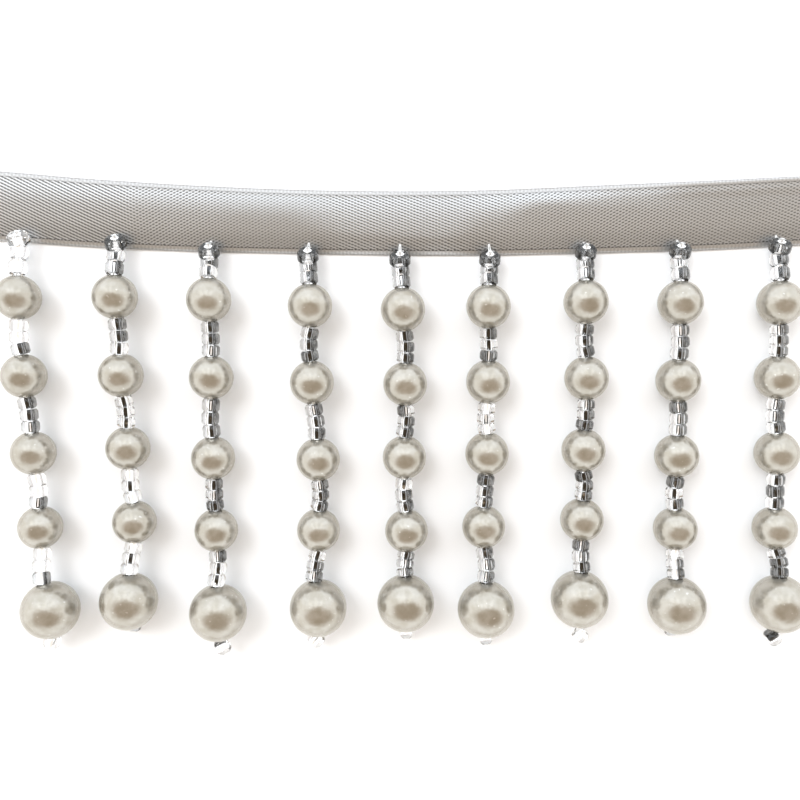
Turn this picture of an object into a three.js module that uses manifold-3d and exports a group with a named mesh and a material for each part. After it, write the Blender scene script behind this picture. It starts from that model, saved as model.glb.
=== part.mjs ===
// Beaded fringe trim: a satin ribbon with nine strings of glass seed beads and imitation pearls
// hanging from its lower edge, laid flat on a table. Millimetres: +X runs along the ribbon, -Y down
// the strings, +Z up from the table.

import * as THREE from 'three';
import { mergeVertices } from 'three/addons/utils/BufferGeometryUtils.js';
import Module from 'manifold-3d';

// Ribbon
const stringPitch = 12.7;
const stringCount = 9;
const ribbonLength = stringPitch * stringCount;
const sheetThickness = 1.0;
const selvedgeWidth = 0.9;
const flatEnd = 9.0;              // length at each cut end that lies flat on the table
const flatMargin = 1 / 7;         // share of the width that lies flat along each long edge

// Pearls and beads
const smallPearl = { radius: 3.0, halfLength: 2.9 };
const largePearl = { radius: 4.0, halfLength: 3.9 };
const boreRadius = 0.7;
const seedRadius = 1.25;
const seedLength = 1.6;
const seedsInGroup = 3;
const threadRadius = 0.25;

// How they sit
const pieceGap = 0.3;
const mouthGap = 0.42;            // a group stops this far short of a pearl's mouth
const firstSeedTilt = 40;         // degrees that the first seed climbs away from the ribbon
const wanderReach = 0.18;         // how far a group strays from the straight line between pearls

// Facets
const pearlSides = 12;
const pearlBands = 5;
const seedSides = 6;
const waist = 0.7;                // a seed's end radius as a share of its middle's
const shoulder = 0.26;            // share of a seed's length that each rounded shoulder takes
const threadSides = 4;
const ribbonSteps = 27;
const ribbonStrips = 7;

// The ribbon as it lies, in nine rows. x is a share of its length from its middle, upper and lower
// are its long edges, arch is how far its middle stands off the table, and crest is how far across
// the width the top of that arch lies, from the lower edge (0) to the upper one (1).
const ribbonRows = [
  { x: -0.5, upper: 14.9, lower: 5.8, arch: 0.0, crest: 0.5 },
  { x: -0.375, upper: 13.8, lower: 4.9, arch: 0.3, crest: 0.5 },
  { x: -0.25, upper: 12.9, lower: 4.3, arch: 0.7, crest: 0.55 },
  { x: -0.125, upper: 12.3, lower: 4.0, arch: 1.0, crest: 0.4 },
  { x: 0.0, upper: 12.1, lower: 3.8, arch: 1.2, crest: 0.3 },
  { x: 0.125, upper: 12.3, lower: 3.8, arch: 1.1, crest: 0.35 },
  { x: 0.25, upper: 12.9, lower: 4.1, arch: 0.8, crest: 0.6 },
  { x: 0.375, upper: 13.5, lower: 4.5, arch: 0.4, crest: 0.6 },
  { x: 0.5, upper: 14.1, lower: 5.2, arch: 0.0, crest: 0.5 },
];

// The strings as they lie, left to right. root is how far a string is sewn on from its even place
// along the ribbon, and foot is how far the large pearl is turned, in degrees. across and down are
// the centres of its five pearls: sideways from the root, and down from the middle of the ribbon's
// lower edge.
const strings = [
  { root: -0.4, foot: 14, across: [-0.1, 0.0, 0.6, 0.9, 2.0], down: [5.8, 16.4, 27.1, 37.7, 49.4] },
  { root: -0.1, foot: -3, across: [-0.1, 0.2, 0.7, 1.1, 0.1], down: [5.7, 16.3, 26.4, 36.9, 48.1] },
  { root: -0.3, foot: 4, across: [0.0, 0.0, -0.1, 0.0, 0.1], down: [6.1, 16.6, 27.8, 38.1, 49.8] },
  { root: 0.3, foot: 8, across: [0.3, 0.4, 1.1, 1.0, 0.9], down: [6.9, 17.3, 28.0, 38.1, 49.1] },
  { root: 0.0, foot: 1, across: [0.4, 0.7, 0.6, 0.9, 0.8], down: [7.4, 17.5, 27.7, 38.2, 48.4] },
  { root: -0.6, foot: 2, across: [-0.2, -0.1, -0.1, -0.4, 0.0], down: [7.0, 17.2, 27.2, 37.6, 49.3] },
  { root: -0.4, foot: -4, across: [0.0, 0.4, 0.3, 0.4, 0.2], down: [6.4, 16.7, 26.7, 36.6, 47.8] },
  { root: -0.4, foot: 3, across: [0.0, 0.2, 0.5, 0.8, 1.2], down: [6.5, 17.0, 27.5, 37.9, 48.7] },
  { root: 0.3, foot: 5, across: [0.0, 0.3, 0.9, 1.3, 2.3], down: [6.5, 16.6, 27.1, 37.8, 48.5] },
];

const satin = new THREE.MeshStandardMaterial({ color: 0xb3afac, roughness: 0.45, metalness: 0 });
const glass = new THREE.MeshStandardMaterial({ color: 0xc8c8c6, roughness: 0.12, metalness: 0.4 });
const pearlCoat = new THREE.MeshStandardMaterial({ color: 0xd0c9bc, roughness: 0.22, metalness: 0.1 });

const wasm = await Module();
wasm.setup();

// Turns a closed geometry into a solid for joining.
function solidOf(geometry) {
  const bare = geometry.clone();
  bare.deleteAttribute('normal');
  bare.deleteAttribute('uv');
  const merged = mergeVertices(bare, 1e-4);
  return new wasm.Manifold(new wasm.Mesh({
    numProp: 3,
    vertProperties: new Float32Array(merged.attributes.position.array),
    triVerts: new Uint32Array(merged.index.array),
  }));
}

// Turns a joined solid back into a geometry.
function geometryOf(solid) {
  const mesh = solid.getMesh();
  const geometry = new THREE.BufferGeometry();
  geometry.setAttribute('position', new THREE.BufferAttribute(mesh.vertProperties, mesh.numProp));
  geometry.setIndex(new THREE.BufferAttribute(mesh.triVerts, 1));
  geometry.computeVertexNormals();
  return geometry;
}

// Reads one column of the ribbon's table at a share of its length, smoothly between the rows.
const ribbonCurves = Object.fromEntries(['upper', 'lower', 'arch', 'crest'].map((column) => [
  column,
  new THREE.SplineCurve(ribbonRows.map((row) => new THREE.Vector2(row.x * ribbonLength, row[column]))),
]));

function ribbonAt(share) {
  const upper = ribbonCurves.upper.getPoint(share);
  return {
    x: upper.x,
    upper: upper.y,
    lower: ribbonCurves.lower.getPoint(share).y,
    arch: Math.max(0, ribbonCurves.arch.getPoint(share).y),
    crest: ribbonCurves.crest.getPoint(share).y,
  };
}

function lowerEdgeAt(x) {
  return ribbonAt(x / ribbonLength + 0.5).lower;
}

// Height of the ribbon's underside: flat along both long edges and at the cut ends, arched between.
function liftAcross(place, across) {
  const rise = across < place.crest
    ? (across - flatMargin) / (place.crest - flatMargin)
    : (1 - flatMargin - across) / (1 - flatMargin - place.crest);
  const inward = (ribbonLength / 2 - Math.abs(place.x)) / flatEnd - 1;
  const settled = THREE.MathUtils.smoothstep(inward, 0, 1);
  return place.arch * settled * THREE.MathUtils.smoothstep(rise, 0, 1);
}

// A closed sheet of even thickness over a grid: pointAt(column, row) gives its underside.
function sheetGeometry(columns, rows, pointAt) {
  const positions = [];
  const indices = [];
  const layerSize = (columns + 1) * (rows + 1);
  for (const raise of [0, sheetThickness]) {
    for (let column = 0; column <= columns; column += 1) {
      for (let row = 0; row <= rows; row += 1) {
        const point = pointAt(column, row);
        positions.push(point.x, point.y, point.z + raise);
      }
    }
  }
  const corner = (column, row, layer) => layer * layerSize + column * (rows + 1) + row;
  const quad = (a, b, c, d) => indices.push(a, b, c, a, c, d);
  for (let column = 0; column < columns; column += 1) {
    for (let row = 0; row < rows; row += 1) {
      quad(corner(column, row, 1), corner(column + 1, row, 1),
        corner(column + 1, row + 1, 1), corner(column, row + 1, 1));
      quad(corner(column, row, 0), corner(column, row + 1, 0),
        corner(column + 1, row + 1, 0), corner(column + 1, row, 0));
    }
    quad(corner(column, 0, 0), corner(column + 1, 0, 0),
      corner(column + 1, 0, 1), corner(column, 0, 1));
    quad(corner(column + 1, rows, 0), corner(column, rows, 0),
      corner(column, rows, 1), corner(column + 1, rows, 1));
  }
  for (let row = 0; row < rows; row += 1) {
    quad(corner(0, row + 1, 0), corner(0, row, 0), corner(0, row, 1), corner(0, row + 1, 1));
    quad(corner(columns, row, 0), corner(columns, row + 1, 0),
      corner(columns, row + 1, 1), corner(columns, row, 1));
  }
  const geometry = new THREE.BufferGeometry();
  geometry.setAttribute('position', new THREE.Float32BufferAttribute(positions, 3));
  geometry.setIndex(indices);
  geometry.computeVertexNormals();
  return geometry;
}

// The ribbon's satin body, from just above the lower selvedge to its upper edge.
function ribbonGeometry() {
  return sheetGeometry(ribbonSteps, ribbonStrips, (column, row) => {
    const place = ribbonAt(column / ribbonSteps);
    const across = row / ribbonStrips;
    const start = place.lower + selvedgeWidth + pieceGap;
    return {
      x: place.x,
      y: THREE.MathUtils.lerp(start, place.upper, across),
      z: liftAcross(place, across),
    };
  });
}

// The lower selvedge, parted from the body, that every string is sewn to.
function selvedgeGeometry() {
  return sheetGeometry(ribbonSteps, 1, (column, row) => {
    const place = ribbonAt(column / ribbonSteps);
    return { x: place.x, y: place.lower + row * selvedgeWidth, z: 0 };
  });
}

// A bored pearl on the Y axis. It has a facet square to each of X and Z, so it rests on a flat.
function pearlGeometry(pearl) {
  const mouth = Math.acos(boreRadius / pearl.radius);
  const step = 2 * mouth / pearlBands;
  const ringScale = pearl.radius / Math.cos(Math.PI / pearlSides);
  const profile = [];
  for (let ring = 0; ring <= pearlBands; ring += 1) {
    const angle = -mouth + ring * step;
    const atMouth = ring === 0 || ring === pearlBands;
    const radius = atMouth ? boreRadius : ringScale * Math.cos(angle) / Math.cos(step / 2);
    profile.push(new THREE.Vector2(radius, pearl.halfLength * Math.sin(angle) / Math.sin(mouth)));
  }
  profile.push(profile[0].clone());
  return new THREE.LatheGeometry(profile, pearlSides, Math.PI / pearlSides);
}

// Seed beads in a row on the Y axis: short tubes with rounded shoulders, touching end to end. Their
// holes are filled by the thread. stray bends the row sideways at its middle.
function seedRowGeometry(count, length, stray) {
  const flats = seedRadius / Math.cos(Math.PI / seedSides);
  const spacing = length / count;
  const profile = [new THREE.Vector2(0, -length / 2), new THREE.Vector2(waist * flats, -length / 2)];
  for (let seed = 0; seed < count; seed += 1) {
    const start = seed * spacing - length / 2;
    profile.push(
      new THREE.Vector2(flats, start + shoulder * spacing),
      new THREE.Vector2(flats, start + (1 - shoulder) * spacing),
      new THREE.Vector2(waist * flats, start + spacing),
    );
  }
  profile.push(new THREE.Vector2(0, length / 2));
  const geometry = new THREE.LatheGeometry(profile, seedSides, Math.PI / seedSides);
  const position = geometry.attributes.position;
  for (let index = 0; index < position.count; index += 1) {
    const bend = stray * Math.cos(Math.PI * position.getY(index) / length);
    position.setX(index, position.getX(index) + bend);
  }
  return geometry;
}

// Lays a geometry made along Y between two points.
function layAlong(geometry, from, to) {
  const direction = to.clone().sub(from).normalize();
  const turn = new THREE.Quaternion().setFromUnitVectors(new THREE.Vector3(0, 1, 0), direction);
  const middle = from.clone().lerp(to, 0.5);
  const size = new THREE.Vector3(1, 1, 1);
  return geometry.applyMatrix4(new THREE.Matrix4().compose(middle, turn, size));
}

function threadBetween(from, to) {
  const length = from.distanceTo(to);
  return layAlong(new THREE.CylinderGeometry(threadRadius, threadRadius, length, threadSides), from, to);
}

function seedsBetween(count, from, to, stray = 0) {
  return layAlong(seedRowGeometry(count, from.distanceTo(to), stray), from, to);
}

// Where the pearls of one string lie, and which way their bores point.
function pearlPlaces(string, index) {
  const rootX = (index - (stringCount - 1) / 2) * stringPitch + string.root;
  const edge = lowerEdgeAt(rootX);
  const root = new THREE.Vector3(rootX, edge, sheetThickness);
  const middleEdge = lowerEdgeAt(0);
  const last = string.across.length - 1;
  const centres = string.across.map((across, row) => {
    const pearl = row === last ? largePearl : smallPearl;
    return new THREE.Vector3(rootX + across, middleEdge - string.down[row], pearl.radius);
  });
  return centres.map((centre, row) => {
    const before = row === 0 ? root : centres[row - 1];
    const after = centres[Math.min(row + 1, last)];
    const lean = Math.atan2(after.x - before.x, before.y - after.y);
    const heading = row === last ? THREE.MathUtils.degToRad(string.foot) : lean;
    const along = new THREE.Vector3(-Math.sin(heading), Math.cos(heading), 0);
    return { centre, heading, along, pearl: row === last ? largePearl : smallPearl };
  });
}

// One string: root stitch, first seeds, threads through the pearls, groups between them, stop bead.
function stringParts(string, index) {
  const places = pearlPlaces(string, index);
  const parts = [];
  const mouthOf = (place, side) => place.centre.clone()
    .addScaledVector(place.along, side * (place.pearl.halfLength + mouthGap));

  const rootX = (index - (stringCount - 1) / 2) * stringPitch + string.root;
  const stitch = new THREE.Vector3(rootX, lowerEdgeAt(rootX) + selvedgeWidth / 2, sheetThickness / 2);
  const tilt = THREE.MathUtils.degToRad(firstSeedTilt);
  const climb = new THREE.Vector3(0, -Math.cos(tilt), Math.sin(tilt));
  const firstFoot = stitch.clone().add(new THREE.Vector3(0, 0, seedRadius));
  const firstTop = firstFoot.clone().addScaledVector(climb, seedLength);
  parts.push(threadBetween(stitch, firstFoot.clone().lerp(firstTop, 0.5)));
  parts.push(seedsBetween(1, firstFoot, firstTop));
  parts.push(seedsBetween(seedsInGroup - 1, firstTop, mouthOf(places[0], 1)));

  places.forEach((place, row) => {
    const reach = seedLength / 2;
    const above = mouthOf(place, 1).addScaledVector(place.along, reach);
    const below = mouthOf(place, -1).addScaledVector(place.along, row === places.length - 1 ? 0 : -reach);
    parts.push(threadBetween(above, below));
    if (row > 0) {
      const stray = wanderReach * Math.sin(2.1 * index + 1.7 * row);
      parts.push(seedsBetween(seedsInGroup, mouthOf(places[row - 1], -1), mouthOf(place, 1), stray));
    }
  });

  const foot = places[places.length - 1];
  const footMouth = mouthOf(foot, -1);
  const stopClear = largePearl.radius / Math.cos(Math.PI / pearlSides) + pieceGap
    + seedRadius / Math.cos(Math.PI / seedSides);
  const stopReach = Math.sqrt(stopClear ** 2 - (largePearl.radius - seedRadius) ** 2);
  const stopCentre = foot.centre.clone().addScaledVector(foot.along, -stopReach).setZ(seedRadius);
  const crosswise = new THREE.Vector3(Math.cos(foot.heading), Math.sin(foot.heading), 0);
  const stopEnd = stopCentre.clone().addScaledVector(crosswise, seedLength / 2);
  const stopStart = stopCentre.clone().addScaledVector(crosswise, -seedLength / 2);
  parts.push(threadBetween(footMouth, stopCentre), seedsBetween(1, stopStart, stopEnd));
  return parts;
}

const trim = new THREE.Group();

const ribbon = new THREE.Mesh(ribbonGeometry(), satin);
ribbon.name = 'ribbon';
trim.add(ribbon);

const fringeSolids = [selvedgeGeometry(), ...strings.flatMap(stringParts)].map(solidOf);
const fringe = new THREE.Mesh(geometryOf(wasm.Manifold.union(fringeSolids)), glass);
fringe.name = 'selvedge_with_strings';
trim.add(fringe);

strings.forEach((string, index) => {
  pearlPlaces(string, index).forEach((place, row) => {
    const pearl = new THREE.Mesh(pearlGeometry(place.pearl), pearlCoat);
    pearl.name = `pearl_${index + 1}_${row + 1}`;
    pearl.position.copy(place.centre);
    pearl.rotation.z = place.heading;
    trim.add(pearl);
  });
});

// The origin is the middle of the trim's outline, on the table.
const outline = new THREE.Box3().setFromObject(trim, true);
const middle = outline.getCenter(new THREE.Vector3());
trim.position.set(-middle.x, -middle.y, 0);

export default trim;
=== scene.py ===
import math
import random
from collections import namedtuple

import bmesh
import bpy
from mathutils import Matrix, Vector


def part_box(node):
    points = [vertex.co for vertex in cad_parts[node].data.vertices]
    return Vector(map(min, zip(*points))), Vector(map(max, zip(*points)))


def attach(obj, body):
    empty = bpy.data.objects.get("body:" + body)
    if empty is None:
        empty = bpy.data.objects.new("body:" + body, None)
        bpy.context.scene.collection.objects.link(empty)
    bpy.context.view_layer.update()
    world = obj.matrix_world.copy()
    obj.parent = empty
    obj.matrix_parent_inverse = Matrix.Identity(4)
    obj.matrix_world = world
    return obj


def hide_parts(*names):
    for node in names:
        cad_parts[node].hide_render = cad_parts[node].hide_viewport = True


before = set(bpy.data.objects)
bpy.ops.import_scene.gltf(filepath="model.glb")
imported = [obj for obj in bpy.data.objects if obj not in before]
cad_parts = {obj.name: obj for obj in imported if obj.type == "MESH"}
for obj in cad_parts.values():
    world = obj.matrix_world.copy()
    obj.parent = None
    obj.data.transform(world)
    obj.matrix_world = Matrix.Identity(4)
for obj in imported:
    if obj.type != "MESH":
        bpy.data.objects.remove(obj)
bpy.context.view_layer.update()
scene = bpy.context.scene
scene.view_settings.view_transform = "Standard"
mm = 0.001

# Table, daylight and camera. A plain white table top in soft daylight and sun, looked down on from
# close by. Every pearl mirrors the room: bright walls, a window of three panes beyond the ribbon,
# and warm shade overhead.
camera_data = bpy.data.cameras.new("camera")
camera_data.sensor_width = 36.0
camera_data.lens = 36.7
camera_data.clip_start = 5 * mm
camera = bpy.data.objects.new("camera", camera_data)
camera.location = Vector((-0.165, 18.878, 113.4)) * mm
camera.rotation_euler = (math.radians(-8.2), 0.0, 0.0)
scene.collection.objects.link(camera)
scene.camera = camera

# The table lies a hair lower than the trim's underside, so that no two faces share a plane.
table_reach = 1500 * mm
table_drop = 0.02 * mm
table_mesh = bmesh.new()
bmesh.ops.create_grid(table_mesh, x_segments=4, y_segments=4, size=table_reach)
bmesh.ops.translate(table_mesh, verts=table_mesh.verts, vec=(0.0, 0.0, -table_drop))
table_data = bpy.data.meshes.new("table_top")
table_mesh.to_mesh(table_data)
table_mesh.free()
table_top = bpy.data.objects.new("table_top", table_data)
scene.collection.objects.link(table_top)


def wire(tree, socket, value):
    """Sets a socket to a plain value, or links it to another node's output."""
    if isinstance(value, bpy.types.NodeSocket):
        tree.links.new(value, socket)
    else:
        socket.default_value = value


def reckon(tree, operation, *values):
    """A Math node over sockets or plain numbers."""
    node = tree.nodes.new("ShaderNodeMath")
    node.operation = operation
    for socket, value in zip(node.inputs, values):
        wire(tree, socket, value)
    return node.outputs[0]


def ramp(tree, value, start, end, low=0.0, high=1.0):
    """Eases from low to high while value goes from start to end."""
    node = tree.nodes.new("ShaderNodeMapRange")
    node.interpolation_type = "SMOOTHSTEP"
    for name, setting in (("Value", value), ("From Min", start), ("From Max", end),
                          ("To Min", low), ("To Max", high)):
        wire(tree, node.inputs[name], setting)
    return node.outputs["Result"]


def blend_colour(tree, factor, first, second):
    """Goes from the first colour to the second as factor goes from 0 to 1."""
    node = tree.nodes.new("ShaderNodeMix")
    node.data_type = "RGBA"
    wire(tree, node.inputs["Factor"], factor)
    for socket, colour in ((node.inputs["A"], first), (node.inputs["B"], second)):
        wire(tree, socket, (*colour, 1.0) if isinstance(colour, tuple) else colour)
    return node.outputs["Result"]


def speckle(tree, place, scale, detail=2.0, roughness=0.5):
    """Noise of about scale lumps a metre, from 0 to 1."""
    node = tree.nodes.new("ShaderNodeTexNoise")
    wire(tree, node.inputs["Vector"], place)
    node.inputs["Scale"].default_value = scale
    node.inputs["Detail"].default_value = detail
    node.inputs["Roughness"].default_value = roughness
    return node.outputs["Fac"]


def emboss(tree, height, depth, strength=1.0):
    """A normal from a height between 0 and 1 that stands for depth metres."""
    node = tree.nodes.new("ShaderNodeBump")
    node.inputs["Strength"].default_value = strength
    node.inputs["Distance"].default_value = depth
    wire(tree, node.inputs["Height"], height)
    return node.outputs["Normal"]


def new_finish(name, **settings):
    """A material with its shader's sockets set, and its node tree."""
    finish = bpy.data.materials.new(name)
    finish.use_nodes = True
    shader = finish.node_tree.nodes["Principled BSDF"]
    for socket, value in settings.items():
        shader.inputs[socket.replace("_", " ").title().replace("Ior", "IOR")].default_value = value
    return finish, finish.node_tree, shader


table_white, tree, shader = new_finish("table_white", roughness=0.6)
object_place = tree.nodes.new("ShaderNodeTexCoord").outputs["Object"]
wire(tree, shader.inputs["Base Color"], blend_colour(
    tree, speckle(tree, object_place, 40.0), (0.95, 0.97, 1.0), (0.93, 0.95, 0.98)))
table_data.materials.append(table_white)

# The walls are whitest beyond the ribbon, where the window is, and a little so at the near end. The
# shade is an oval overhead: full where shade_reach is under 0.30, and gone where it is over 0.90.
wall_white = (1.80, 1.81, 1.80)
window_white = (1.90, 1.99, 2.10)
warm_shade = (0.57, 0.43, 0.29)
room = bpy.data.worlds.new("room")
room.use_nodes = True
scene.world = room
tree = room.node_tree
direction = tree.nodes.new("ShaderNodeTexCoord").outputs["Generated"]
parts = tree.nodes.new("ShaderNodeSeparateXYZ")
wire(tree, parts.inputs[0], direction)
sideways, beyond, upward = parts.outputs
from_window = ramp(tree, beyond, 0.22, 0.68)
from_front = reckon(tree, "MULTIPLY", ramp(tree, beyond, -0.6, -0.9), 0.25)
daylight = reckon(tree, "MAXIMUM", from_window, from_front)
walls = blend_colour(tree, daylight, wall_white, window_white)
shifted = reckon(tree, "SUBTRACT", sideways, 0.06)
tilted = reckon(tree, "ADD", beyond, 0.20)
side_reach = reckon(tree, "MULTIPLY", reckon(tree, "POWER", shifted, 2.0), 0.95)
near_reach = reckon(tree, "MULTIPLY", reckon(tree, "POWER", tilted, 2.0), 1.7)
shade_reach = reckon(tree, "ADD", side_reach, near_reach)
above_table = ramp(tree, upward, 0.1, 0.4)
shade = reckon(tree, "MULTIPLY", ramp(tree, shade_reach, 0.90, 0.30), above_table)
wire(tree, tree.nodes["Background"].inputs["Color"], blend_colour(tree, shade, walls, warm_shade))

# The window's three tall panes show as upright streaks in the pearls.
pane_width = 60 * mm
pane_height = 360 * mm
pane_power = 0.07
pane_blue = (0.94, 0.98, 1.0)
window_distance = 340 * mm
window_height = 440 * mm
for number, pane_x in enumerate((-290, -60, 170)):
    pane_data = bpy.data.lights.new(f"pane_{number + 1}", "AREA")
    pane_data.shape = "RECTANGLE"
    pane_data.size = pane_width
    pane_data.size_y = pane_height
    pane_data.energy = pane_power
    pane_data.color = pane_blue
    pane = bpy.data.objects.new(f"pane_{number + 1}", pane_data)
    pane.location = (pane_x * mm, window_distance, window_height)
    towards_trim = -pane.location
    pane.rotation_euler = towards_trim.to_track_quat("-Z", "Y").to_euler()
    scene.collection.objects.link(pane)

# Soft sunlight from the upper left whitens the table. The pearls don't mirror it.
sun_strength = 0.9
sun_spread = math.radians(25.0)
sun_heading = Vector((0.40, -0.45, -0.80))
sun_data = bpy.data.lights.new("sun", "SUN")
sun_data.energy = sun_strength
sun_data.angle = sun_spread
sun = bpy.data.objects.new("sun", sun_data)
sun.rotation_euler = sun_heading.to_track_quat("-Z", "Y").to_euler()
sun.visible_glossy = False
scene.collection.objects.link(sun)

# Ribbon heading. One silver grey satin ribbon with a woven selvedge along each edge, cut square at
# both ends. It lies loosely on the table, arched along its middle, and carries every string.
ribbon_length = 114.3 * mm
ribbon_thickness = 0.22 * mm
lower_selvedge = 0.85 * mm
upper_selvedge = 0.75 * mm
selvedge_rise = 0.06 * mm
upper_rise_share = 0.7
nominal_width = 10.0 * mm
ribbon_columns = 230
ribbon_strips = 40

# Where the ribbon's long edges lie, in millimetres, at nine even places from its left end to its
# right one.
RibbonRow = namedtuple("RibbonRow", "upper lower")
ribbon_rows = (
    RibbonRow(14.9, 5.8),
    RibbonRow(13.8, 4.9),
    RibbonRow(12.9, 4.3),
    RibbonRow(12.3, 4.0),
    RibbonRow(12.1, 3.8),
    RibbonRow(12.3, 3.8),
    RibbonRow(12.9, 4.1),
    RibbonRow(13.5, 4.5),
    RibbonRow(14.1, 5.2),
)

# How it bulges off the table: at a share of its length, how high its crown stands, how far across
# the crown lies from the lower edge (0) to the upper one (1), the height of a fold just under the
# upper edge, and how far the upper edge itself is lifted. The heights are in millimetres.
Bulge = namedtuple("Bulge", "share crown crest fold lifted")
bulges = (
    Bulge(0.00, 0.55, 0.58, 0.00, 0.0),
    Bulge(0.20, 0.60, 0.59, 0.00, 0.0),
    Bulge(0.35, 0.68, 0.55, 0.00, 0.0),
    Bulge(0.45, 0.80, 0.34, 0.00, 0.0),
    Bulge(0.55, 0.85, 0.29, 0.00, 0.0),
    Bulge(0.61, 0.80, 0.52, 0.00, 0.0),
    Bulge(0.67, 0.72, 0.72, 0.00, 0.1),
    Bulge(0.78, 0.48, 0.62, 0.02, 0.4),
    Bulge(0.86, 0.30, 0.50, 0.06, 0.7),
    Bulge(1.00, 0.22, 0.45, 0.08, 0.9),
)
fold_place = 0.86
fold_half_width = 0.12
ribbon_low, ribbon_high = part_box("ribbon")
ribbon_middle_x = (ribbon_low.x + ribbon_high.x) / 2
table_origin_y = ribbon_high.y - ribbon_rows[0].upper * mm


def ribbon_at(share):
    """The ribbon's two edges at a share of its length, read smoothly from the rows above."""
    spot = share * (len(ribbon_rows) - 1)
    index = min(int(spot), len(ribbon_rows) - 2)
    step = spot - index
    last = len(ribbon_rows) - 1
    around = [ribbon_rows[min(max(index + offset, 0), last)] for offset in (-1, 0, 1, 2)]
    read = []
    for before, start, end, after in zip(*around):
        read.append(0.5 * (2 * start + (end - before) * step
                           + (2 * before - 5 * start + 4 * end - after) * step ** 2
                           + (3 * start - before - 3 * end + after) * step ** 3))
    return RibbonRow(*read)


def lower_edge_at(x):
    """The y of the ribbon's lower edge at an x of the frame."""
    share = (x - ribbon_middle_x) / ribbon_length + 0.5
    return table_origin_y + ribbon_at(share).lower * mm


def eased(value):
    """A smooth step from 0 to 1."""
    value = min(max(value, 0.0), 1.0)
    return value * value * (3 - 2 * value)


def ribbon_lift(share, across):
    """How far the ribbon's underside stands off the table."""
    after = next(index for index, bulge in enumerate(bulges) if index and share <= bulge.share)
    start, end = bulges[after - 1], bulges[after]
    step = eased((share - start.share) / (end.share - start.share))
    crown, crest, fold, lifted = (first + (second - first) * step
                                  for first, second in zip(start[1:], end[1:]))
    if across < crest:
        fall = (crest - across) / crest
    else:
        fall = (across - crest) / (1 - crest)
    ridge = eased(1 - abs(across - fold_place) / fold_half_width)
    return (crown * (1 - fall ** 2) + fold * ridge + lifted * across) * mm


def selvedge_lift(from_lower_edge, width):
    """How far the rounded woven edges stand above the satin between them."""
    from_upper_edge = width - from_lower_edge
    lower_ridge = math.sin(math.pi * min(from_lower_edge / lower_selvedge, 1.0))
    upper_ridge = math.sin(math.pi * min(from_upper_edge / upper_selvedge, 1.0))
    ridge = max(lower_ridge, upper_ridge * upper_rise_share, 0.0)
    return selvedge_rise * ridge ** 0.6


ribbon_mesh = bmesh.new()
cloth_map = ribbon_mesh.loops.layers.uv.new("cloth")
bmesh.ops.create_grid(ribbon_mesh, x_segments=ribbon_columns, y_segments=ribbon_strips, size=0.5)
for face in ribbon_mesh.faces:
    for loop in face.loops:
        spot = loop.vert.co
        loop[cloth_map].uv = (spot.x + 0.5, (spot.y + 0.5) * nominal_width / ribbon_length)
for vertex in ribbon_mesh.verts:
    share = vertex.co.x + 0.5
    across = vertex.co.y + 0.5
    row = ribbon_at(share)
    width = (row.upper - row.lower) * mm
    vertex.co = (
        ribbon_middle_x + (share - 0.5) * ribbon_length,
        table_origin_y + row.lower * mm + across * width,
        ribbon_lift(share, across) + selvedge_lift(across * width, width),
    )
bmesh.ops.recalc_face_normals(ribbon_mesh, faces=ribbon_mesh.faces)


def new_piece(name, mesh, finishes, smooth_angle=40.0):
    """Puts a finished mesh in the scene, smooth but for edges sharper than the angle."""
    data = bpy.data.meshes.new(name)
    mesh.to_mesh(data)
    mesh.free()
    for finish in finishes:
        data.materials.append(finish)
    data.shade_smooth()
    data.set_sharp_from_angle(angle=math.radians(smooth_angle))
    piece = bpy.data.objects.new(name, data)
    scene.collection.objects.link(piece)
    return piece


satin, tree, shader = new_finish("silver_satin", metallic=0.6, roughness=0.32, sheen_weight=0.1)
cloth_place = tree.nodes.new("ShaderNodeUVMap")
cloth_place.uv_map = "cloth"
parts = tree.nodes.new("ShaderNodeSeparateXYZ")
wire(tree, parts.inputs[0], cloth_place.outputs["UV"])
along = reckon(tree, "MULTIPLY", parts.outputs["X"], ribbon_length / mm)
across = reckon(tree, "MULTIPLY", parts.outputs["Y"], ribbon_length / mm)

# The weave's floats slant across the ribbon, some falling and some rising to the right. Their
# pitches are in millimetres, as along and across are.
across_pitch = 0.48
falling_pitch = 1.045
rising_pitch = 0.704
across_turns = reckon(tree, "MULTIPLY", across, 2 * math.pi / across_pitch)
falling_turns = reckon(tree, "MULTIPLY", along, 2 * math.pi / falling_pitch)
rising_turns = reckon(tree, "MULTIPLY", along, 2 * math.pi / rising_pitch)
falling = reckon(tree, "SINE", reckon(tree, "ADD", falling_turns, across_turns))
rising = reckon(tree, "SINE", reckon(tree, "SUBTRACT", rising_turns, across_turns))


def blend_number(tree, factor, first, second):
    """Goes from the first number to the second as factor goes from 0 to 1."""
    rest = reckon(tree, "SUBTRACT", 1.0, factor)
    return reckon(tree, "ADD", reckon(tree, "MULTIPLY", first, rest),
                  reckon(tree, "MULTIPLY", second, factor))


def between(tree, value, start, end, soft=0.10):
    """Is 1 between start and end, and eases to 0 over a soft margin inside each."""
    return reckon(tree, "MULTIPLY", ramp(tree, value, start, start + soft),
                  ramp(tree, value, end, end - soft))


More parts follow.
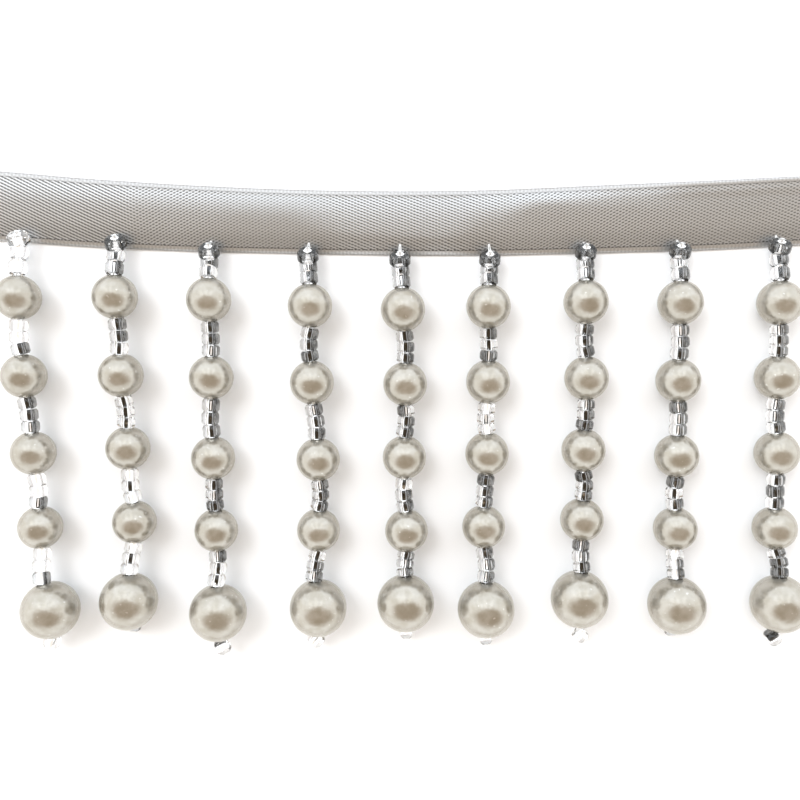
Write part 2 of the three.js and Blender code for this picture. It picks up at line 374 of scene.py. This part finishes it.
# The weave changes along the ribbon. Over each stretch, in millimetres from the left end, the share
# of the falling floats and the strength of the weave ease to the values given.
FloatStretch = namedtuple("FloatStretch", "start end falling strength")
float_stretches = (
    FloatStretch(18.5, 23.5, 0.35, 0.80),
    FloatStretch(28.0, 38.0, 0.35, 0.50),
    FloatStretch(43.0, 50.0, 0.72, 0.85),
    FloatStretch(68.0, 77.0, 0.36, 0.75),
    FloatStretch(90.0, 102.0, 0.50, 0.55),
)
falling_share = 0.92
weave_strength = 1.0
for stretch in float_stretches:
    step = ramp(tree, along, stretch.start, stretch.end)
    falling_share = blend_number(tree, step, falling_share, stretch.falling)
    weave_strength = blend_number(tree, step, weave_strength, stretch.strength)
weave = blend_number(tree, falling_share, rising, falling)
crossings = reckon(tree, "MULTIPLY", reckon(tree, "MULTIPLY", falling, rising), -0.5)
weave = reckon(tree, "MULTIPLY", reckon(tree, "ADD", weave, crossings), weave_strength)
weave = ramp(tree, weave, -1.0, 1.0)

# The selvedges are ribbed, and in the groove inside each lies a row of dark dashes, painted
# shade, darker along the lower edge, which is turned from the window.
rib_pitch = 0.5
lower_edge = ramp(tree, across, 0.80, 0.66)
upper_edge = ramp(tree, across, 9.30, 9.44)
edges = reckon(tree, "MAXIMUM", lower_edge, upper_edge)
edge_ribs = reckon(tree, "SINE", reckon(tree, "MULTIPLY", along, 2 * math.pi / rib_pitch))
edge_ribs = reckon(tree, "MULTIPLY_ADD", edge_ribs, 0.5, 0.5)
groove_shade_dashes = reckon(tree, "MULTIPLY_ADD", edge_ribs, 0.8, 0.2)
lower_groove_shade_mask = reckon(tree, "MULTIPLY", between(tree, across, 0.60, 0.90), groove_shade_dashes)
upper_groove_shade_mask = reckon(tree, "MULTIPLY", between(tree, across, 9.22, 9.52), groove_shade_dashes)

# Long faint streaks follow the warp, and painted shade makes the satin a little darker
# towards its lower edge, the side that faces the dimmer part of the room.
float_shadow = (0.07, 0.072, 0.075)
float_shine = (0.745, 0.76, 0.775)
thread_grey = (0.40, 0.395, 0.39)
rib_grey = (0.52, 0.515, 0.51)
painted_lower_shade = (0.10, 0.098, 0.096)
lower_groove_shade = (0.03, 0.03, 0.03)
upper_groove_shade = (0.08, 0.08, 0.08)
streak_place = tree.nodes.new("ShaderNodeCombineXYZ")
wire(tree, streak_place.inputs["X"], reckon(tree, "MULTIPLY", along, 0.04))
wire(tree, streak_place.inputs["Y"], across)
streaks = speckle(tree, streak_place.outputs[0], 3.0, detail=3.0)
colour = blend_colour(tree, weave, float_shadow, float_shine)
colour = blend_colour(tree, reckon(tree, "MULTIPLY", streaks, 0.15), colour, thread_grey)
colour = blend_colour(tree, ramp(tree, across, 4.2, 1.2, 0.0, 0.20), colour, painted_lower_shade)
woven_edge = blend_colour(tree, edge_ribs, thread_grey, rib_grey)
colour = blend_colour(tree, reckon(tree, "MULTIPLY", edges, 0.85), colour, woven_edge)
colour = blend_colour(tree, reckon(tree, "MULTIPLY", lower_groove_shade_mask, 0.9), colour, lower_groove_shade)
colour = blend_colour(tree, reckon(tree, "MULTIPLY", upper_groove_shade_mask, 0.6), colour, upper_groove_shade)
wire(tree, shader.inputs["Base Color"], colour)
relief = blend_colour(tree, edges, weave, (0.5, 0.5, 0.5))
wire(tree, shader.inputs["Normal"], emboss(tree, relief, 0.04 * mm, 0.5))

ribbon = new_piece("satin_ribbon", ribbon_mesh, [satin])
body_of_cloth = ribbon.modifiers.new("thickness", "SOLIDIFY")
body_of_cloth.thickness = ribbon_thickness
body_of_cloth.offset = 1.0
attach(ribbon, "root")
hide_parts("ribbon", "selvedge_with_strings")

# Coated pearls. Round plastic beads bored through and dipped in a pearl coat: four of 6 mm and one
# of 8 mm on each string. Each lies on the table with its bore along the string.
small_radius = 3.0 * mm
large_radius = 4.0 * mm
bore_radius = 0.55 * mm
mouth_radius = 0.75 * mm
mouth_lip = 0.12 * mm
pearl_sides = 36
pearl_bands = 20

# The strings hang an even pitch apart, the fifth at the ribbon's middle. Each root is a few tenths
# of a millimetre off its place, and each large pearl, in the last row, is turned by some degrees.
string_pitch = 12.7 * mm
middle_string = 4
last_row = 4
root_shifts = (-0.4, -0.1, -0.3, 0.3, 0.0, -0.6, -0.4, -0.4, 0.3)
foot_turns = (14, -3, 4, 8, 1, 2, -4, 3, 5)
PearlPlace = namedtuple("PearlPlace", "centre heading bore radius")
chance = random.Random(7)


def turn_profile(mesh, profile, sides, place, finish=0):
    """Spins a closed profile of (radius, along) points round the Y axis, and lays it in place."""
    points = [mesh.verts.new((radius, along, 0.0)) for radius, along in profile]
    outline = [mesh.edges.new(pair) for pair in zip(points, points[1:] + points[:1])]
    before = set(mesh.faces)
    bmesh.ops.spin(mesh, geom=points + outline, cent=(0, 0, 0), axis=(0, 1, 0),
                   angle=2 * math.pi, steps=sides, use_merge=True, use_duplicate=False)
    faces = [face for face in mesh.faces if face not in before]
    bmesh.ops.recalc_face_normals(mesh, faces=faces)
    for face in faces:
        face.material_index = finish
    corners = list({vertex for face in faces for vertex in face.verts})
    bmesh.ops.transform(mesh, matrix=place, verts=corners)


def pearl_profile(radius):
    """Half the outline of a bored pearl, with a small turned-in lip at each mouth."""
    mouth = math.acos(mouth_radius / radius)
    profile = []
    for band in range(pearl_bands + 1):
        angle = mouth * (2 * band / pearl_bands - 1)
        profile.append((radius * math.cos(angle), radius * math.sin(angle)))
    end = radius * math.sin(mouth)
    profile += [(bore_radius, end - mouth_lip), (bore_radius, mouth_lip - end)]
    return profile


string_places = []
for number, (shift, turn) in enumerate(zip(root_shifts, foot_turns)):
    root_x = ribbon_middle_x + (number - middle_string) * string_pitch + shift * mm
    root = Vector((root_x, lower_edge_at(root_x), 0.0))
    centres = []
    for row in range(last_row + 1):
        low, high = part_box(f"pearl_{number + 1}_{row + 1}")
        centres.append((low + high) / 2)
    places = []
    for row, centre in enumerate(centres):
        above = centres[row - 1] if row else root
        below = centres[min(row + 1, last_row)]
        heading = math.atan2(below.x - above.x, above.y - below.y)
        radius = small_radius
        if row == last_row:
            heading = math.radians(turn)
            radius = large_radius
        bore = Vector((-math.sin(heading), math.cos(heading), 0.0))
        centre.z = radius
        places.append(PearlPlace(centre, heading, bore, radius))
    string_places.append((root, places))

# The coat is cloudy, with fine grain and a few pale specks.
cream_shade = (0.36, 0.334, 0.281)
cream_light = (0.447, 0.426, 0.379)
speck_cream = (0.70, 0.69, 0.66)
pearl_coat, tree, shader = new_finish(
    "pearl_coat", metallic=0.64, roughness=0.19, coat_weight=0.45, coat_roughness=0.08)
shader.inputs["Specular Tint"].default_value = (0.88, 0.85, 0.79, 1.0)
object_place = tree.nodes.new("ShaderNodeTexCoord").outputs["Object"]
clouds = speckle(tree, object_place, 700.0, detail=4.0)
grain = speckle(tree, object_place, 6000.0, detail=2.0)
specks = ramp(tree, speckle(tree, object_place, 2600.0, detail=0.0), 0.78, 0.84)
colour = blend_colour(tree, ramp(tree, clouds, 0.3, 0.7), cream_shade, cream_light)
colour = blend_colour(tree, reckon(tree, "MULTIPLY", specks, 0.6), colour, speck_cream)
wire(tree, shader.inputs["Base Color"], colour)
wire(tree, shader.inputs["Roughness"], ramp(tree, clouds, 0.3, 0.7, 0.18, 0.26))
unevenness = reckon(tree, "MULTIPLY_ADD", grain, 0.05, clouds)
wire(tree, shader.inputs["Normal"], emboss(tree, unevenness, 0.10 * mm, 0.9))

for number, (root, places) in enumerate(string_places):
    for row, place in enumerate(places):
        pearl_mesh = bmesh.new()
        roll = chance.uniform(0, 2 * math.pi)
        lay = (Matrix.Translation(place.centre) @ Matrix.Rotation(place.heading, 4, "Z")
               @ Matrix.Rotation(roll, 4, "Y"))
        turn_profile(pearl_mesh, pearl_profile(place.radius), pearl_sides, lay)
        pearl = new_piece(f"coated_pearl_{number + 1}_{row + 1}", pearl_mesh, [pearl_coat])
        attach(pearl, "root")
        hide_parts(f"pearl_{number + 1}_{row + 1}")

# Seed beads. Short clear glass tubes with a silvered hole, threaded three above every pearl, the
# topmost tipped against the ribbon's edge. One more is laid crosswise under each large pearl to
# hold the thread.
seed_radius = 1.22 * mm
seed_length = 1.58 * mm
longest_seed = 1.12 * seed_length
seed_fit = 0.985
hole_radius = 0.46 * mm
lining_radius = 0.40 * mm
flare_radius = 0.46 * mm
lining_wall = 0.06 * mm
seed_sides = 16
row_stray = 0.28 * mm

# The topmost bead of each string is wider and tipped, and its place above or below the ribbon's
# edge is given in millimetres. From the fifth string on, it has a dark ring of painted reflection.
first_height = 2.0 * mm
first_tilt = math.radians(30.0)
first_girth = 1.2
first_gap = 0.1 * mm
ringed_from = 4
first_offsets = (0.3, 0.55, -0.1, -0.4, -0.7, -0.7, 0.0, -0.15, -0.2)

# The rows of beads, by string and row, that look pale.
pale_rows = {(0, 0), (0, 1), (0, 3), (0, 4), (1, 2), (1, 3), (1, 4), (2, 4), (5, 2), (7, 4)}

# The bead under each large pearl, in degrees: how far below the pearl's middle it touches it, how
# far to the side of the bore, and how far it is turned off square.
stop_drops = (12, 32, 6, 12, 22, 22, 2, 32, 6)
stop_leans = (-20, 0, 0, -14, 0, 0, 6, 0, -10)
stop_twists = (60, 0, 25, 40, 0, 4, 50, 0, 30)

clear_glass, tree, shader = new_finish(
    "clear_glass", transmission_weight=1.0, roughness=0.03, ior=1.5)
object_place = tree.nodes.new("ShaderNodeTexCoord").outputs["Object"]
swirl = speckle(tree, object_place, 900.0, detail=2.0)
wire(tree, shader.inputs["Base Color"],
     blend_colour(tree, swirl, (0.90, 0.90, 0.90), (0.99, 0.99, 0.99)))
wire(tree, shader.inputs["Normal"], emboss(tree, swirl, 0.04 * mm, 0.3))

# Painted shade: near-black glass laid on a bead's flanks, mostly its right one, stands in for the
# shadowed table seen through the glass.
flank_shade_glass, tree, shader = new_finish(
    "flank_shade_glass", transmission_weight=1.0, roughness=0.05, ior=1.5)
object_place = tree.nodes.new("ShaderNodeTexCoord").outputs["Object"]
swirl = ramp(tree, speckle(tree, object_place, 1100.0, detail=2.0), 0.35, 0.65)
wire(tree, shader.inputs["Base Color"],
     blend_colour(tree, swirl, (0.008, 0.008, 0.008), (0.09, 0.09, 0.087)))
wire(tree, shader.inputs["Normal"], emboss(tree, swirl, 0.04 * mm, 0.3))

# Painted light: the silvering glows a little, which keeps the lining white through the glass.
glowing_silvering, tree, shader = new_finish(
    "glowing_silvering", metallic=0.7, roughness=0.25, emission_strength=0.55)
shader.inputs["Emission Color"].default_value = (0.97, 0.98, 1.0, 1.0)
object_place = tree.nodes.new("ShaderNodeTexCoord").outputs["Object"]
tarnish_and_shade_mottle = speckle(tree, object_place, 1500.0, detail=3.0)
wire(tree, shader.inputs["Base Color"],
     blend_colour(tree, tarnish_and_shade_mottle, (0.90, 0.91, 0.92), (0.99, 0.99, 0.99)))
wire(tree, shader.inputs["Normal"], emboss(tree, tarnish_and_shade_mottle, 0.05 * mm, 0.2))

# Painted reflection: a near-black mirror copy of the silvering makes the dark ring on top of the
# lining, which stands in for the shade overhead; its lighter mottle is random.
shade_painted_silvering, tree, shader = new_finish("shade_painted_silvering", metallic=1.0, roughness=0.15)
object_place = tree.nodes.new("ShaderNodeTexCoord").outputs["Object"]
tarnish_and_shade_mottle = ramp(tree, speckle(tree, object_place, 1300.0, detail=2.0), 0.60, 0.70)
wire(tree, shader.inputs["Base Color"],
     blend_colour(tree, tarnish_and_shade_mottle, (0.01, 0.01, 0.01), (0.50, 0.50, 0.50)))

# Where the finishes lie on a bead. The ring, a painted reflection of the shade overhead, and the
# flanks of painted shade are measured in sides off its top, and the top rolls inwards on the outer
# strings, as if the beads faced a point above the middle.
seed_finishes = [clear_glass, glowing_silvering, shade_painted_silvering, flank_shade_glass]
lining_slot, ring_slot, flank_shade_slot = 1, 2, 3
ring_sides = 1.5
flank_shade_sides = 6.5
island_sides = 0.5
roll_share = 0.8
facing_height = 113.0 * mm


def seed_profile(length):
    """Half the outline of one glass bead: a straight hole and rounded shoulders."""
    half = length / 2
    rim = 0.80 * seed_radius
    shoulder = 0.98 * seed_radius
    shoulder_end = 0.62 * half
    return [
        (hole_radius, -half),
        (rim, -half),
        (shoulder, -shoulder_end),
        (seed_radius, 0.0),
        (shoulder, shoulder_end),
        (rim, half),
        (hole_radius, half),
    ]


def add_seed(mesh, centre, axis, length, ringed=True, flank_shade_odds=(0.15, 0.85), girth=1.0):
    """One bead and its lined hole, at a centre and along an axis. The glass is clear over the hole
    and may carry painted shade, dark glass, along its left and right flank, each with odds of its
    own. The lining is silvery, with a dark ring of painted reflection on top."""
    inward_roll = roll_share * math.atan2(centre.x, facing_height) + chance.gauss(0, 0.08)
    place = (Matrix.Translation(centre) @ axis.to_track_quat("Y", "Z").to_matrix().to_4x4()
             @ Matrix.Rotation(inward_roll, 4, "Y") @ Matrix.Diagonal((girth, 1.0, girth, 1.0)))
    side_turn = 2 * math.pi / seed_sides
    lay = place @ Matrix.Rotation(side_turn / 2, 4, "Y")
    to_bead = place.inverted()
    shaded_flanks = [side for side, odds in zip((1, -1), flank_shade_odds) if chance.random() < odds]
    before = set(mesh.faces)
    turn_profile(mesh, seed_profile(length), seed_sides, lay)
    for face in set(mesh.faces) - before:
        spot = to_bead @ face.calc_center_median()
        off_top = math.atan2(spot.x, spot.z)
        for flank in shaded_flanks:
            if ring_sides * side_turn < off_top * flank < flank_shade_sides * side_turn:
                face.material_index = flank_shade_slot
    half = 0.49 * length
    ring_end = 0.40 * length
    island_end = 0.31 * length
    lining_bore = lining_radius - lining_wall
    lining = [
        (lining_radius, -ring_end),
        (lining_radius, -island_end),
        (lining_radius, island_end),
        (lining_radius, ring_end),
        (flare_radius, half),
        (lining_bore, half),
        (lining_bore, -half),
        (flare_radius, -half),
    ]
    # Three rings in ten have a silvery island in their middle.
    island = island_sides if chance.random() < 0.3 else 0.0
    before = set(mesh.faces)
    turn_profile(mesh, lining, seed_sides, lay, finish=lining_slot)
    for face in set(mesh.faces) - before:
        spot = to_bead @ face.calc_center_median()
        off_top = abs(math.atan2(spot.x, spot.z)) / side_turn
        in_ring = off_top < ring_sides and abs(spot.y) < ring_end
        in_island = off_top < island and abs(spot.y) < island_end
        if ringed and in_ring and not in_island:
            face.material_index = ring_slot


def seed_row(mesh, count, start, end, stray=0.0, pale=False):
    """A row of beads end to end between two points, bowed sideways by the stray and a little
    uneven. A pale row has clear flanks and few dark rings. Gives the beads' centres."""
    step = (end - start) / count
    length = min(step.length * seed_fit, longest_seed)
    side = step.cross(Vector((0.0, 0.0, 1.0))).normalized()
    centres = []
    for bead in range(count):
        middle = (bead + 0.5) / count
        centre = start.lerp(end, middle) + side * stray * math.sin(math.pi * middle)
        lean = stray * math.pi * math.cos(math.pi * middle) / (end - start).length
        axis = (step.normalized() + side * (lean + chance.uniform(-0.06, 0.06))
                + Vector((0.0, 0.0, chance.uniform(-0.04, 0.04)))).normalized()
        if pale:
            add_seed(mesh, centre, axis, length, ringed=chance.random() < 0.2,
                     flank_shade_odds=(0.0, 0.1))
        else:
            add_seed(mesh, centre, axis, length * chance.uniform(0.95, 1.0))
        centres.append(centre)
    return centres


thread_paths = []
for number, (root, places) in enumerate(string_places):
    seed_mesh = bmesh.new()
    dip = Vector((0.0, -math.cos(first_tilt), -math.sin(first_tilt)))
    first_bead = Vector((root.x, root.y + first_offsets[number] * mm, first_height))
    first_foot = first_bead + dip * seed_length / 2
    path = [first_bead - dip * seed_length * 0.6, first_bead]
    # The topmost bead's flanks both carry painted shade unless its row is pale.
    first_wing_shade_odds = (0.0, 0.0) if (number, 0) in pale_rows else (1.0, 1.0)
    add_seed(seed_mesh, first_bead, dip, seed_length, ringed=number >= ringed_from,
             flank_shade_odds=first_wing_shade_odds, girth=first_girth)

    # From pearl to pearl the beads run between the mouths of the bores.
    upper_mouths = []
    lower_mouths = []
    for place in places:
        to_mouth = place.bore * math.sqrt(place.radius ** 2 - mouth_radius ** 2)
        upper_mouths.append(place.centre + to_mouth)
        lower_mouths.append(place.centre - to_mouth)
    path += seed_row(seed_mesh, 2, first_foot + dip * first_gap, upper_mouths[0],
                     pale=(number, 0) in pale_rows)
    path += [upper_mouths[0], lower_mouths[0]]
    for row in range(1, last_row + 1):
        stray = row_stray * math.sin(2.1 * number + 1.7 * row)
        path += seed_row(seed_mesh, 3, lower_mouths[row - 1], upper_mouths[row], stray,
                         pale=(number, row) in pale_rows)
        path += [upper_mouths[row], lower_mouths[row]]

    # The crosswise bead touches the large pearl.
    foot = places[-1]
    drop = math.radians(stop_drops[number])
    lean = foot.heading + math.radians(stop_leans[number])
    outward = Vector((math.sin(lean), -math.cos(lean), 0.0))
    stop = foot.centre + (large_radius + seed_radius) * (
        outward * math.cos(drop) - Vector((0.0, 0.0, math.sin(drop))))
    twisted = foot.heading + math.radians(stop_twists[number])
    crosswise = Vector((math.cos(twisted), math.sin(twisted), 0.0))
    add_seed(seed_mesh, stop, crosswise, seed_length, ringed=False, flank_shade_odds=(0.0, 0.2))
    thread_paths.append((path, stop, crosswise, lower_mouths[-1]))
    row_of_seeds = new_piece(f"seed_beads_{number + 1}", seed_mesh, seed_finishes, 35.0)
    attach(row_of_seeds, "root")
    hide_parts("selvedge_with_strings")

# Threads and stitches. One white nylon thread runs down each string, round the crosswise bead and
# back up, and is sewn to the ribbon's lower edge with two short stitches.
thread_radius = 0.09 * mm
thread_sides = 6
stitch_length = 0.45 * mm
stitch_spread = 0.12 * mm
stitch_arch = 0.25 * mm

nylon, tree, shader = new_finish("white_nylon", roughness=0.4, sheen_weight=0.2)
object_place = tree.nodes.new("ShaderNodeTexCoord").outputs["Object"]
fibres = speckle(tree, object_place, 5000.0, detail=2.0)
wire(tree, shader.inputs["Base Color"],
     blend_colour(tree, fibres, (0.45, 0.45, 0.44), (0.85, 0.85, 0.84)))
wire(tree, shader.inputs["Normal"], emboss(tree, fibres, 0.02 * mm, 0.4))


def lay_thread(mesh, path):
    """A closed round thread along a row of points."""
    def frame_at(index):
        before = path[max(index - 1, 0)]
        after = path[min(index + 1, len(path) - 1)]
        facing = Vector((0.0, 0.0, 1.0)).rotation_difference(after - before)
        return Matrix.Translation(path[index]) @ facing.to_matrix().to_4x4()

    ring = bmesh.ops.create_circle(mesh, cap_ends=True, radius=thread_radius, segments=thread_sides,
                                   matrix=frame_at(0))
    corners = ring["verts"]
    rim = list({edge for corner in corners for edge in corner.link_edges})
    for index in range(1, len(path)):
        made = bmesh.ops.extrude_edge_only(mesh, edges=rim)["geom"]
        corners = [item for item in made if isinstance(item, bmesh.types.BMVert)]
        known = set(corners)
        rim = [item for item in made
               if isinstance(item, bmesh.types.BMEdge) and set(item.verts) <= known]
        step = frame_at(index) @ frame_at(index - 1).inverted()
        bmesh.ops.transform(mesh, matrix=step, verts=corners)
    bmesh.ops.edgeloop_fill(mesh, edges=rim)


thread_mesh = bmesh.new()
for path, stop, crosswise, mouth in thread_paths:
    lay_thread(thread_mesh, path)

    # Out of the large pearl, through the crosswise bead and back into the pearl.
    half_bead = crosswise * (seed_length / 2 + thread_radius)
    lay_thread(thread_mesh, [
        mouth,
        mouth.lerp(stop + half_bead, 0.6),
        stop + half_bead,
        stop,
        stop - half_bead,
        mouth.lerp(stop - half_bead, 0.6),
        mouth + Vector((0.0, 0.2 * mm, 0.0)),
    ])

    # Up through the ribbon just above its selvedge, over that and down into the topmost bead.
    root_x = path[0].x
    edge_y = lower_edge_at(root_x)
    share = (root_x - ribbon_middle_x) / ribbon_length + 0.5
    row = ribbon_at(share)
    top = edge_y + lower_selvedge + stitch_length
    low = edge_y + 0.5 * lower_selvedge
    lift = ribbon_lift(share, (top - edge_y) / mm / (row.upper - row.lower)) + ribbon_thickness
    for side in (-1, 1):
        lay_thread(thread_mesh, [
            Vector((root_x, top + 0.25 * mm, lift - 0.2 * mm)),
            Vector((root_x + side * 0.06 * mm, top, lift + 0.03 * mm)),
            Vector((root_x + side * stitch_spread, (top + low) / 2, lift + stitch_arch)),
            path[0] + Vector((side * 0.1 * mm, 0.1 * mm, 0.0)),
            path[1],
        ])
bmesh.ops.recalc_face_normals(thread_mesh, faces=thread_mesh.faces)
threads = new_piece("threads", thread_mesh, [nylon], 60.0)
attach(threads, "root")
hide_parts("selvedge_with_strings")
